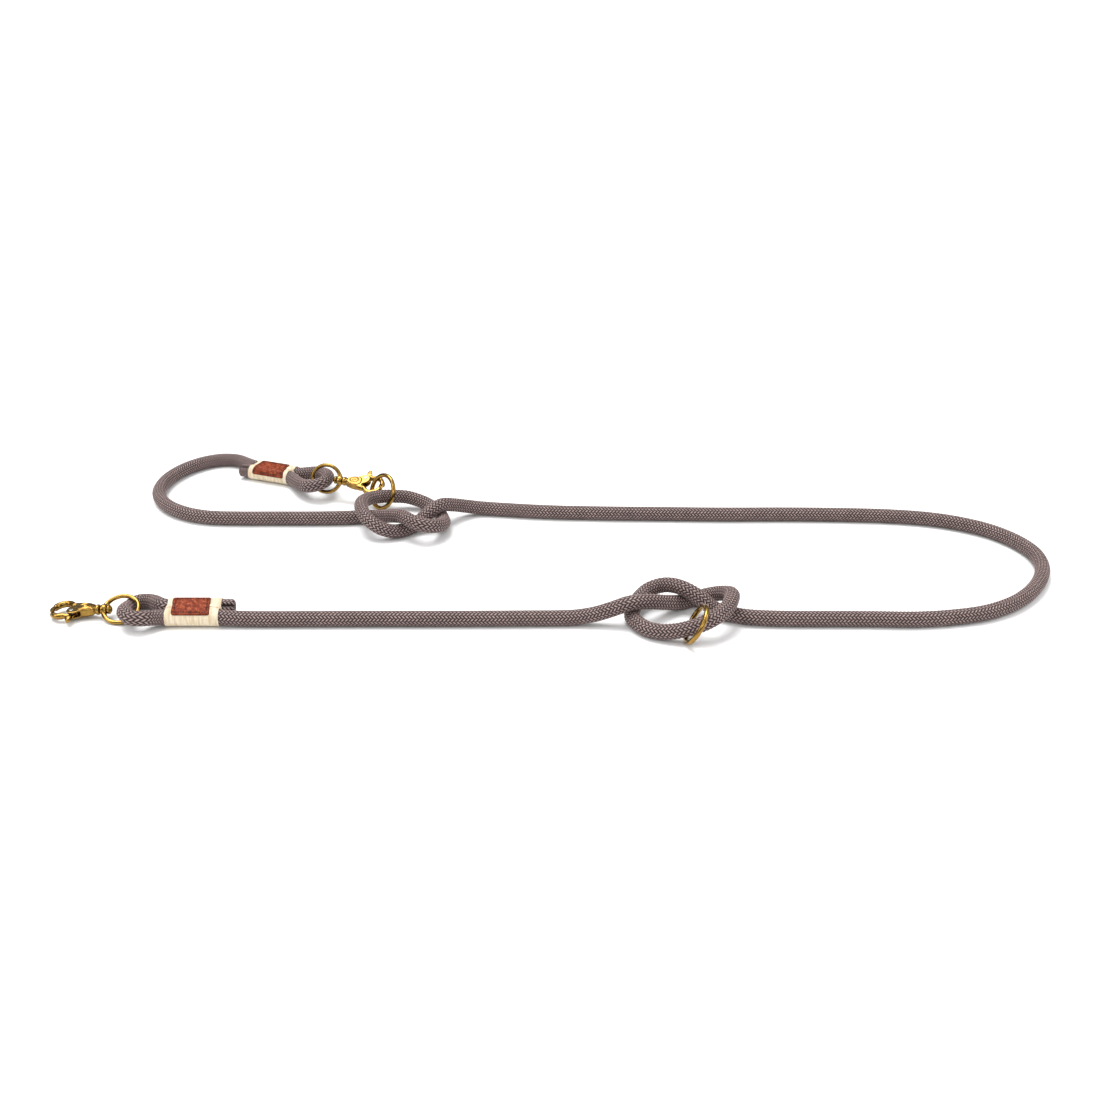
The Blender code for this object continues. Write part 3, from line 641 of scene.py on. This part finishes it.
def whipping(prefix, place, material):
    """Turns of twine round both strands, and the cross turns that pull them tight between the strands."""
    end, per_turn = WHIPPING_LENGTH / 2, 40
    turns = np.arange(int(WHIPPING_LENGTH / TWINE_D) * per_turn + 1) / per_turn
    x = -end + TWINE_D / 2 + turns * TWINE_D
    _, _, total = stadium(0, BAND_R)
    y, z, _ = stadium(turns * total, BAND_R)
    bulge = 0.00012 * (np.abs(x) / end) ** 4
    wobble = 0.00003 * np.sin(turns * 2.3) + 0.00003 * np.sin(turns * 5.1 + 1)
    grow = 1 + (bulge + wobble) / BAND_R
    pinch = 0.04 + 0.30 * (np.abs(x) / end) ** 10
    waist = 1 - pinch * np.exp(-(y / 0.0026) ** 2)
    path = np.stack([x, y * grow, z * grow * waist], 1)
    band = thread(f"{prefix}_whipping_twine", path, TWINE_D / 2, 8, material, place)

    ties = []
    for lane in TIE_LANES:
        y = lane * TWINE_D * 0.92
        top = BAND_R * 0.96 + TWINE_D * 0.8
        # from on the band, over its end and down between the strands
        dive = [(end - 0.0048, y * 0.8, top + 0.0001), (end - 0.0024, y, top - 0.0001),
                (end - 0.0008, y, top - 0.0007), (end + 0.0001, y, BAND_R * 0.70),
                (end + 0.0005, y * 0.9, BAND_R * 0.5), (end + 0.0002, y * 0.7, 0.0014)]
        full = [(-px, py, pz) for px, py, pz in reversed(dive)] + dive
        for side in (1, -1):
            line = catmull_rom([(px, py, pz * side) for px, py, pz in full], 0.0004)
            ties.append(sweep(line, TWINE_D / 2, 8, up=(0, 1, 0)))
    points, blocks = joined(ties)
    uv = np.zeros(2 * sum(block.size for block in blocks))
    name = f"{prefix}_whipping_ties"
    for piece in (band, new_object(name, new_mesh(name, points, blocks, uv), material, place)):
        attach(piece, "rope")
    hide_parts(f"{prefix}_whipping")


def patch_point(prefix, a, b, lift):
    """A point on the patch, and the patch's width round its arc. a runs from -1 to 1 along the patch, b
    from 0 to 1 across it, and lift is the height above its underside."""
    low, high = (math.radians(angle) for angle in PATCH_ARC[prefix])
    upright = math.pi / 2
    radius = PATCH_UNDER + lift
    half = STRAND_PITCH / 2
    before, after = (upright - low) * PATCH_UNDER, (high - upright) * PATCH_UNDER
    total = before + 2 * half + after
    a, b = np.asarray(a, float), np.asarray(b, float)
    d = b * total
    far_turn = low + d / PATCH_UNDER
    near_turn = upright + (d - before - 2 * half) / PATCH_UNDER
    sections = [d < before, d < before + 2 * half]
    y = np.select(sections, [half + radius * np.cos(far_turn), half - (d - before)],
                  -half + radius * np.cos(near_turn))
    z = np.select(sections, [radius * np.sin(far_turn), radius + 0 * d], radius * np.sin(near_turn))
    x = a * (1 + PATCH_FLARE[prefix] * b) * PATCH_LENGTH / 2
    x = x + PATCH_SHIFT[prefix] + PATCH_SHEAR[prefix] * (b - 0.5)
    return np.stack([np.broadcast_to(x, np.shape(y)), y, z], -1), total


def rounded_grid(half_x, half_y):
    """A grid of a and b whose square corners are squeezed on to round ones, and each point's distance
    from the rim."""
    wide, deep = PATCH_GRID
    a = np.linspace(-1, 1, wide)[:, None] + np.zeros(deep)
    b = np.linspace(0, 1, deep)[None, :] + np.zeros((wide, 1))
    x, y = np.abs(a) * half_x, np.abs(2 * b - 1) * half_y
    over_x, over_y = x - (half_x - PATCH_CORNER), y - (half_y - PATCH_CORNER)
    in_corner = (over_x > 0) & (over_y > 0)
    reach, length = np.maximum(over_x, over_y), np.hypot(over_x, over_y) + 1e-12
    shrink = np.where(in_corner, reach / length, 1.0)
    x = np.where(in_corner, half_x - PATCH_CORNER + over_x * shrink, x)
    y = np.where(in_corner, half_y - PATCH_CORNER + over_y * shrink, y)
    from_rim = np.where(in_corner, PATCH_CORNER - np.hypot(over_x, over_y) * shrink,
                        np.minimum(half_x - x, half_y - y))
    return (a, b, np.sign(a) * x / half_x, 0.5 + np.sign(2 * b - 1) * y / half_y / 2,
            np.maximum(from_rim, 0))


def leather_patch(prefix, place, material):
    """Leather bent over the whipping, with rounded corners and edges and a sunk seam."""
    _, width = patch_point(prefix, 0.0, 0.5, 0.0)
    a, b, a_round, b_round, from_rim = rounded_grid(PATCH_LENGTH / 2, width / 2)
    ripple = 0.00012 * np.sin(a * 9 + 1) + 0.0001 * np.sin(b * 11 + a * 4)
    rise = np.sqrt(np.clip(1 - (1 - np.clip(from_rim / PATCH_EDGE, 0, 1)) ** 2, 0, 1))
    seam = 0.00022 * np.exp(-((from_rim - STITCH_INSET) / 0.0005) ** 2)
    lift = PATCH_THICKNESS * (0.35 + 0.65 * rise) - seam + 0.4 * ripple * (from_rim > 0.0008)
    wavy_rim = ripple / (PATCH_LENGTH / 2) * (from_rim < 1e-6)
    top, _ = patch_point(prefix, a_round + wavy_rim, b_round, lift)
    under, _ = patch_point(prefix, a_round, b_round, 0 * lift)

    grid = np.arange(a.size).reshape(a.shape)
    quads = np.stack([grid[:-1, :-1], grid[1:, :-1], grid[1:, 1:], grid[:-1, 1:]], -1).reshape(-1, 4)
    rim = np.concatenate([grid[0], grid[1:, -1], grid[-1, -2::-1], grid[-2:0:-1, 0]])
    after = np.roll(rim, -1)
    walls = np.stack([rim, after, after + a.size, rim + a.size], 1)
    edge = np.clip(from_rim / 0.0011, 0, 1).ravel()
    mesh = new_mesh(f"{prefix}_leather", np.concatenate([top.reshape(-1, 3), under.reshape(-1, 3)]),
                    [quads, quads[:, ::-1] + a.size, walls], values={"edge": np.tile(edge, 2)})
    patch = new_object(f"{prefix}_leather_patch", mesh, material, place)
    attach(patch, "rope")
    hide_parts(f"{prefix}_patch")


def stitches(prefix, place, material):
    """The sewing thread, where it shows on the four sides of the patch."""
    _, width = patch_point(prefix, 0.0, 0.5, 0.0)
    inset_a, inset_b = 1 - STITCH_INSET / (PATCH_LENGTH / 2), STITCH_INSET / width
    bow = np.sin(np.linspace(0, math.pi, 7))
    lift = PATCH_THICKNESS - 0.00035 + 0.0003 * bow
    sides = [(inset_a * PATCH_LENGTH, (-inset_a, b), (inset_a, b)) for b in (inset_b, 1 - inset_b)]
    sides += [(width - 2 * STITCH_INSET, (a, inset_b), (a, 1 - inset_b)) for a in (-inset_a, inset_a)]
    shown = []
    for length, start, end in sides:
        count = round(length / STITCH_PITCH)
        for k in range(count):
            t = (k + np.linspace(*STITCH_SPAN, 7)) / count
            at_a, at_b = (low + (high - low) * t for low, high in zip(start, end))
            line, _ = patch_point(prefix, at_a, at_b, lift)
            shown.append(sweep(line, STITCH_R * (0.55 + 0.45 * bow), 8))
    mesh = new_mesh(f"{prefix}_stitches", *joined(shown))
    sewing = new_object(f"{prefix}_patch_stitches", mesh, material, place)
    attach(sewing, "rope")
    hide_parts(f"{prefix}_patch_thread")


# ---------------------------------------------------------------------------------- brass fittings
def o_ring(name, material):
    """A closed ring of round wire, with the faint bead of its weld."""
    middle, axes = axes_of(name)
    angles = np.arange(144) * 2 * math.pi / 144
    bead = 1 + 0.035 * np.exp(-((angles - 4.0) / 0.05) ** 2)
    path = np.stack([RING_R * np.cos(angles), RING_R * np.sin(angles), 0 * angles], 1)
    points, faces = sweep(path, RING_WIRE_R * bead, 28, closed=True)
    turn = Vector((0, 0, 1)).rotation_difference(Vector(axes[2]))
    place = Matrix.Translation(middle) @ turn.to_matrix().to_4x4()
    ring = new_object(f"{name}_brass", new_mesh(name, points, faces), material, place)
    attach(ring, name)
    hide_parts(name)


def hook_frame(prefix):
    """The hook's own frame, from the axes of its swivel and of its moving jaw."""
    swivel, gate = JOINTS[f"{prefix}_swivel"], JOINTS[f"{prefix}_gate_pivot"]
    x, z = Vector(swivel["axis"]), Vector(gate["axis"])
    y = z.cross(x)
    return Matrix.Translation(Vector(swivel["pos_m"])) @ Matrix((x, y, z)).transposed().to_4x4()


def cast(name, parts, material, place, voxel=0.2, soften=5):
    """Merges closed shapes drawn in millimetres into one casting with softened edges."""
    points, faces = joined(parts)
    raw = new_object(name + "_raw", new_mesh(name + "_raw", points, faces), material)
    remesh = raw.modifiers.new("Remesh", "REMESH")
    remesh.mode = "VOXEL"
    remesh.voxel_size = voxel
    smooth = raw.modifiers.new("Smooth", "SMOOTH")
    smooth.factor = 0.5
    smooth.iterations = soften
    evaluated = raw.evaluated_get(bpy.context.evaluated_depsgraph_get())
    mesh = bpy.data.meshes.new_from_object(evaluated)
    bpy.data.objects.remove(raw)
    mesh.transform(Matrix.Scale(MM, 4))
    mesh.shade_smooth()
    mesh.name = name
    return new_object(name, mesh, material, place)


def ellipse(half_x, half_y, start, end, count, centre=(27.5, 0.0), z=0.0):
    """Points on an ellipse between two angles in degrees. The jaws' own middle is its usual centre."""
    angles = np.radians(np.linspace(start, end, count))
    return np.stack([centre[0] + half_x * np.cos(angles), centre[1] + half_y * np.sin(angles),
                     np.full(count, z)], 1)


def plate(outline, z0, z1, rounding=0.5):
    """A flat piece of an outline with softly rounded rims."""
    outline = np.asarray(outline, float)
    middle = outline.mean(0)
    rows = []
    for z, inset in ((z0, rounding), (z0 + rounding * 0.3, rounding * 0.3), (z0 + rounding, 0),
                     (z1 - rounding, 0), (z1 - rounding * 0.3, rounding * 0.3), (z1, rounding)):
        away = outline - middle
        shrunk = middle + away * (1 - inset / np.linalg.norm(away, axis=1).mean())
        rows.append(np.column_stack([shrunk, np.full(len(outline), z)]))
    return skin(np.array(rows))


def smooth_outline(points, step=0.4):
    """A closed smooth outline through the points."""
    pts = [np.array([*p, 0.0]) for p in points]
    looped = catmull_rom(pts[-2:] + pts + pts[:2], step)
    start = int(np.argmin(np.linalg.norm(looped - pts[0], axis=1)[: len(looped) // 2]))
    stop = len(looped) // 2 + int(np.argmin(np.linalg.norm(looped - pts[0], axis=1)[len(looped) // 2:]))
    return looped[start:stop, :2]


def hook_body(prefix, place, material):
    """Neck, plate and fixed jaw, cast in one piece."""
    arm = np.concatenate([[(14.0, -2.4, 0), (17.0, -4.2, 0)], ellipse(6.9, 7.95, -142, 38, 50)])
    arm = catmull_rom(arm, 0.4)
    t = np.linspace(0, 1, len(arm))
    arm[:, 2] += np.interp(t, [0, 0.76, 0.84, 1], [0, 0, 1.15, 1.3])
    half_wide = np.interp(t, [0, 0.25, 0.8, 0.96, 1], [2.2, 2.0, 1.8, 1.6, 1.1])
    half_thick = np.interp(t, [0, 0.3, 0.74, 0.84, 1], [2.6, 2.35, 2.2, 1.1, 0.95])
    ridge_line = np.concatenate([[(9.0, -3.4, 2.6), (13.0, -4.3, 2.6), (17.0, -4.9, 2.2)],
                                 ellipse(8.0, 9.0, -140, -20, 30, z=1.7)])
    ridge_line = catmull_rom(ridge_line, 0.5)
    low_ridge = ridge_line * np.array([1, 1, -1])
    main = smooth_outline([(6.0, -2.8), (9.0, -4.0), (13.0, -5.0), (16.5, -5.2), (19.5, -4.2), (20.0, -1.5),
                           (19.0, 0.8), (15.8, 1.3), (15.6, 3.6), (14.5, 5.1), (11.0, 4.8), (8.0, 3.8),
                           (6.0, 2.8)])
    raised = smooth_outline([(6.8, -2.2), (9.5, -3.4), (13.0, -4.2), (16.6, -4.2), (18.2, -2.6), (18.4, 0.0),
                             (17.4, 3.0), (14.6, 4.4), (11.0, 4.0), (8.4, 3.1), (6.8, 2.2)])
    ear = smooth_outline([(14.0, 4.9), (13.5, -1.0), (17.0, -2.0), (21.5, -0.5), (23.4, 2.2), (23.3, 5.6),
                          (21.5, 7.9), (19.0, 8.2), (16.6, 7.2)])
    parts = [
        turned([(2.6, 2.4), (2.75, 3.1), (3.3, 3.5), (4.4, 3.5), (5.2, 3.1), (5.7, 2.5), (6.4, 2.4),
                (8.0, 2.6), (9.5, 2.3)]),
        plate(main, -2.6, 2.6, 0.8),
        plate(raised, -3.2, 3.2, 0.6),
        plate(ear, 1.72, 2.6, 0.3),
        plate(ear, -2.6, -1.72, 0.3),
        sweep(arm, half_wide, 20, flat=half_thick),
        sweep(ridge_line, 0.42, 8),
        sweep(low_ridge, 0.42, 8),
    ]
    for face in (1, -1):
        rim = ellipse(3.4, 2.5, 0, 354, 60, centre=(12.4, 0.1), z=3.12 * face)
        dimple = ellipse(1.1, 0.6, 0, 350, 36, centre=(12.4, 0.1), z=3.05 * face)
        parts += [sweep(rim, 0.42, 8, closed=True), sweep(dimple, 0.42, 8, closed=True)]
    body = cast(f"{prefix}_hook_casting", parts, material, place)
    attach(body, f"{prefix}_hook")
    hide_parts(f"{prefix}_hook_body")


def gate(prefix, place, material):
    """Moving jaw: the arm with its half lap, the tongue between the ears and the ribbed thumb tab."""
    arm = np.concatenate([ellipse(7.2, 8.4, 10, 108, 40), [(22.2, 8.0, 0), (20.4, 7.2, 0)]])
    arm = catmull_rom(arm, 0.4)
    t = np.linspace(0, 1, len(arm))
    arm[:, 2] += np.interp(t, [0, 0.30, 0.38, 1], [-1.25, -1.2, -0.1, -0.1])
    half_wide = np.interp(t, [0, 0.05, 0.4, 0.8, 1], [1.3, 1.8, 1.95, 2.0, 1.6])
    half_thick = np.interp(t, [0, 0.30, 0.38, 0.85, 1], [0.95, 1.0, 2.15, 2.1, 1.5])
    tongue = smooth_outline([(20.0, 2.3), (17.9, 3.2), (17.3, 5.0), (17.9, 7.0), (19.0, 9.0), (22.0, 9.6),
                             (25.2, 8.6), (25.0, 6.8), (23.2, 5.4), (22.2, 3.3)])
    tab = smooth_outline([(18.9, 8.4), (18.2, 11.0), (18.1, 13.4), (18.8, 15.2), (19.9, 15.6), (20.9, 14.8),
                          (22.0, 12.6), (23.0, 10.4), (23.8, 8.6), (21.0, 7.6)])
    parts = [
        sweep(arm, half_wide, 20, flat=half_thick),
        plate(tongue, -1.5, -0.12, 0.2),
        plate(tab, -1.5, 1.1, 0.8),
    ]
    for k in range(4):
        y = 11.2 + 1.05 * k
        reach = 1.5 - 0.22 * k
        rib = np.array([(20.3 - 0.28 * k - reach, y, 0.95), (20.3 - 0.28 * k, y + 0.15, 1.2),
                        (20.3 - 0.28 * k + reach, y, 0.95)])
        parts.append(sweep(catmull_rom(rib, 0.3), 0.28, 8))
    jaw = cast(f"{prefix}_gate_casting", parts, material, place)
    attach(jaw, f"{prefix}_jaw")
    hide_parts(f"{prefix}_gate")


def swivel_eye(prefix, place, material):
    """Round wire eye that thickens into a drilled barrel for the swivel's rivet."""
    angles = np.arange(120) * 2 * math.pi / 120
    path = np.stack([11.6 * (np.cos(angles) - 1), 10.4 * np.sin(angles), 0 * angles], 1)
    near = np.exp(-(np.minimum(angles, 2 * math.pi - angles) / 0.42) ** 2)
    thick = 1.5 + 0.6 * near
    barrel = [(-2.25, 1.6), (-2.25, 2.5), (-2.0, 3.1), (-1.3, 3.45), (0.2, 3.6), (1.3, 3.45), (2.0, 2.9),
              (2.3, 2.3), (2.3, 1.6)]
    parts = [sweep(path, thick, 20, closed=True), turned(barrel, 40, closed=True)]
    eye = cast(f"{prefix}_eye_casting", parts, material, place)
    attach(eye, f"{prefix}_eye")
    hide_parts(f"{prefix}_swivel_eye")


def small_parts(prefix, place, brass, steel):
    """The swivel's rivet, the jaw's pin and its spring."""
    def piece(name, shape, material, slot, node):
        points, faces = shape
        obj = new_object(f"{prefix}_{name}", new_mesh(name, points * MM, faces), material, place)
        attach(obj, f"{prefix}_hook")
        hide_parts(f"{prefix}_{node}")

    headed = [(-5.5, 0.3), (-5.45, 1.2), (-5.2, 1.75), (-4.7, 2.05), (-4.45, 2.15), (-4.4, 2.7), (-4.15, 3.0),
              (-3.3, 3.1), (-2.8, 2.95), (-2.45, 2.5), (-2.45, 1.3), (10.5, 1.3)]
    piece("rivet", turned(headed), brass, "polished_brass", "swivel_rivet")
    peened = [(-3.0, 0.3), (-2.98, 1.0), (-2.9, 1.35), (-2.75, 1.45), (-2.55, 1.45), (-2.5, 0.9), (2.5, 0.9),
              (2.55, 1.45), (2.75, 1.45), (2.9, 1.35), (2.98, 1.0), (3.0, 0.3)]
    points, faces = turned(peened, 32)
    points = np.stack([PIVOT[0] + points[:, 2], PIVOT[1] + points[:, 1], points[:, 0]], 1)
    piece("pin", (points, faces), steel, "spring_steel", "gate_pin")
    turns, per_turn = 2.45, 40           # of the spring round the pin, and points in each
    steps = np.arange(int(turns * per_turn))
    a = -math.pi / 2 + steps * 2 * math.pi / per_turn
    coil = np.stack([PIVOT[0] + 1.7 * np.cos(a), PIVOT[1] + 1.7 * np.sin(a),
                     0.25 + 0.45 * steps / per_turn], 1)
    legs = np.array([[PIVOT[0] - 3.0, PIVOT[1] - 2.0, 0.25], [PIVOT[0] - 1.2, PIVOT[1] - 1.8, 0.25]])
    path = np.concatenate([legs, coil, coil[-1:] + np.array([[0.9, -0.35, 0]])])
    piece("spring", sweep(path, 0.2, 10), steel, "spring_steel", "gate_spring")


# -------------------------------------------------------------------------------------- the studio
def studio():
    """A pale floor, soft boxes and a grey room for the brass to reflect."""
    corners = [(x * FLOOR_HALF, y * FLOOR_HALF, 0) for x, y in ((-1, -1), (1, -1), (1, 1), (-1, 1))]
    floor_mesh = new_mesh("floor", corners, [np.arange(4)[None]])
    n = Nodes("floor")
    n.set(Base_Color=(0.88, 0.88, 0.88, 1), Roughness=0.7, Specular_IOR_Level=0.1)
    floor = new_object("floor", floor_mesh, n.material)
    floor.location.z = min(0.0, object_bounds()[0].z) - 0.0001
    floor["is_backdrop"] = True

    world = bpy.data.worlds.new("studio")
    bpy.context.scene.world = world
    world.use_nodes = True
    tree = world.node_tree
    background = tree.nodes["Background"]
    direction = tree.nodes.new("ShaderNodeTexCoord")
    height = tree.nodes.new("ShaderNodeSeparateXYZ")
    ramp = tree.nodes.new("ShaderNodeValToRGB")
    tree.links.new(direction.outputs["Generated"], height.inputs[0])
    tree.links.new(height.outputs[2], ramp.inputs[0])
    tree.links.new(ramp.outputs[0], background.inputs[0])
    # a white wall up to a low height, a dark gap that brass needs in its reflections, then the soft ceiling
    stops = ((0.0, 0.95), (0.09, 0.9), (0.15, 0.02), (0.3, 0.02), (0.76, 1.0))
    while len(ramp.color_ramp.elements) < len(stops):
        ramp.color_ramp.elements.new(0.5)
    for element, (place, grey) in zip(ramp.color_ramp.elements, stops):
        element.position = place
        element.color = (grey, grey, grey, 1)
    background.inputs[1].default_value = 1.0

    def lamp(name, kind, energy, location, size=None, angle=None):
        """A lamp that points at the middle of the leash."""
        data = bpy.data.lights.new(name, kind)
        data.energy = energy
        if size:
            data.shape = "RECTANGLE"
            data.size, data.size_y = size
        if angle:
            data.angle = math.radians(angle)
        light = bpy.data.objects.new(name, data)
        bpy.context.scene.collection.objects.link(light)
        light.location = location
        light.rotation_euler = (-Vector(location)).to_track_quat("-Z", "Y").to_euler()

    lamp("key", "SUN", 2.5, (-0.35, 0.4, 1.4), angle=34)
    lamp("left_box", "AREA", 6.5, (-1.2, -0.5, 0.9), size=(0.4, 1.2))
    lamp("right_box", "AREA", 5.0, (1.2, -0.2, 0.8), size=(0.3, 1.2))
    lamp("front_box", "AREA", 6.5, (0.1, -1.5, 0.9), size=(1.4, 0.5))
    bpy.context.scene.view_settings.view_transform = "Standard"


# --------------------------------------------------------------------------------------- the leash
add_camera()
materials = {
    "rope": rope_material(),
    "twine": twine_material(),
    "leather": leather_material(),
    "thread": thread_material(),
    "cast_brass": brass_material("cast_brass", 0.6, 0.12),
    "ring_brass": brass_material("ring_brass", 0.8, 0.05),
    "steel": steel_material(),
}
whipping_places = {side: whipping_frame(side) for side in ("lower", "upper")}
braided_rope(materials["rope"], whipping_places.values())
for side, whipping_place in whipping_places.items():
    whipping(side, whipping_place, materials["twine"])
    leather_patch(side, whipping_place, materials["leather"])
    stitches(side, whipping_place, materials["thread"])
    o_ring(f"{side}_ring", materials["ring_brass"])
for hook in HOOKS:
    hook_place = hook_frame(hook)
    hook_body(hook, hook_place, materials["cast_brass"])
    gate(hook, hook_place, materials["cast_brass"])
    eye_place = hook_place @ Matrix.Rotation(math.radians(EYE_ROLL[hook]), 4, "X")
    swivel_eye(hook, eye_place, materials["cast_brass"])
    small_parts(hook, hook_place, materials["cast_brass"], materials["steel"])
studio()
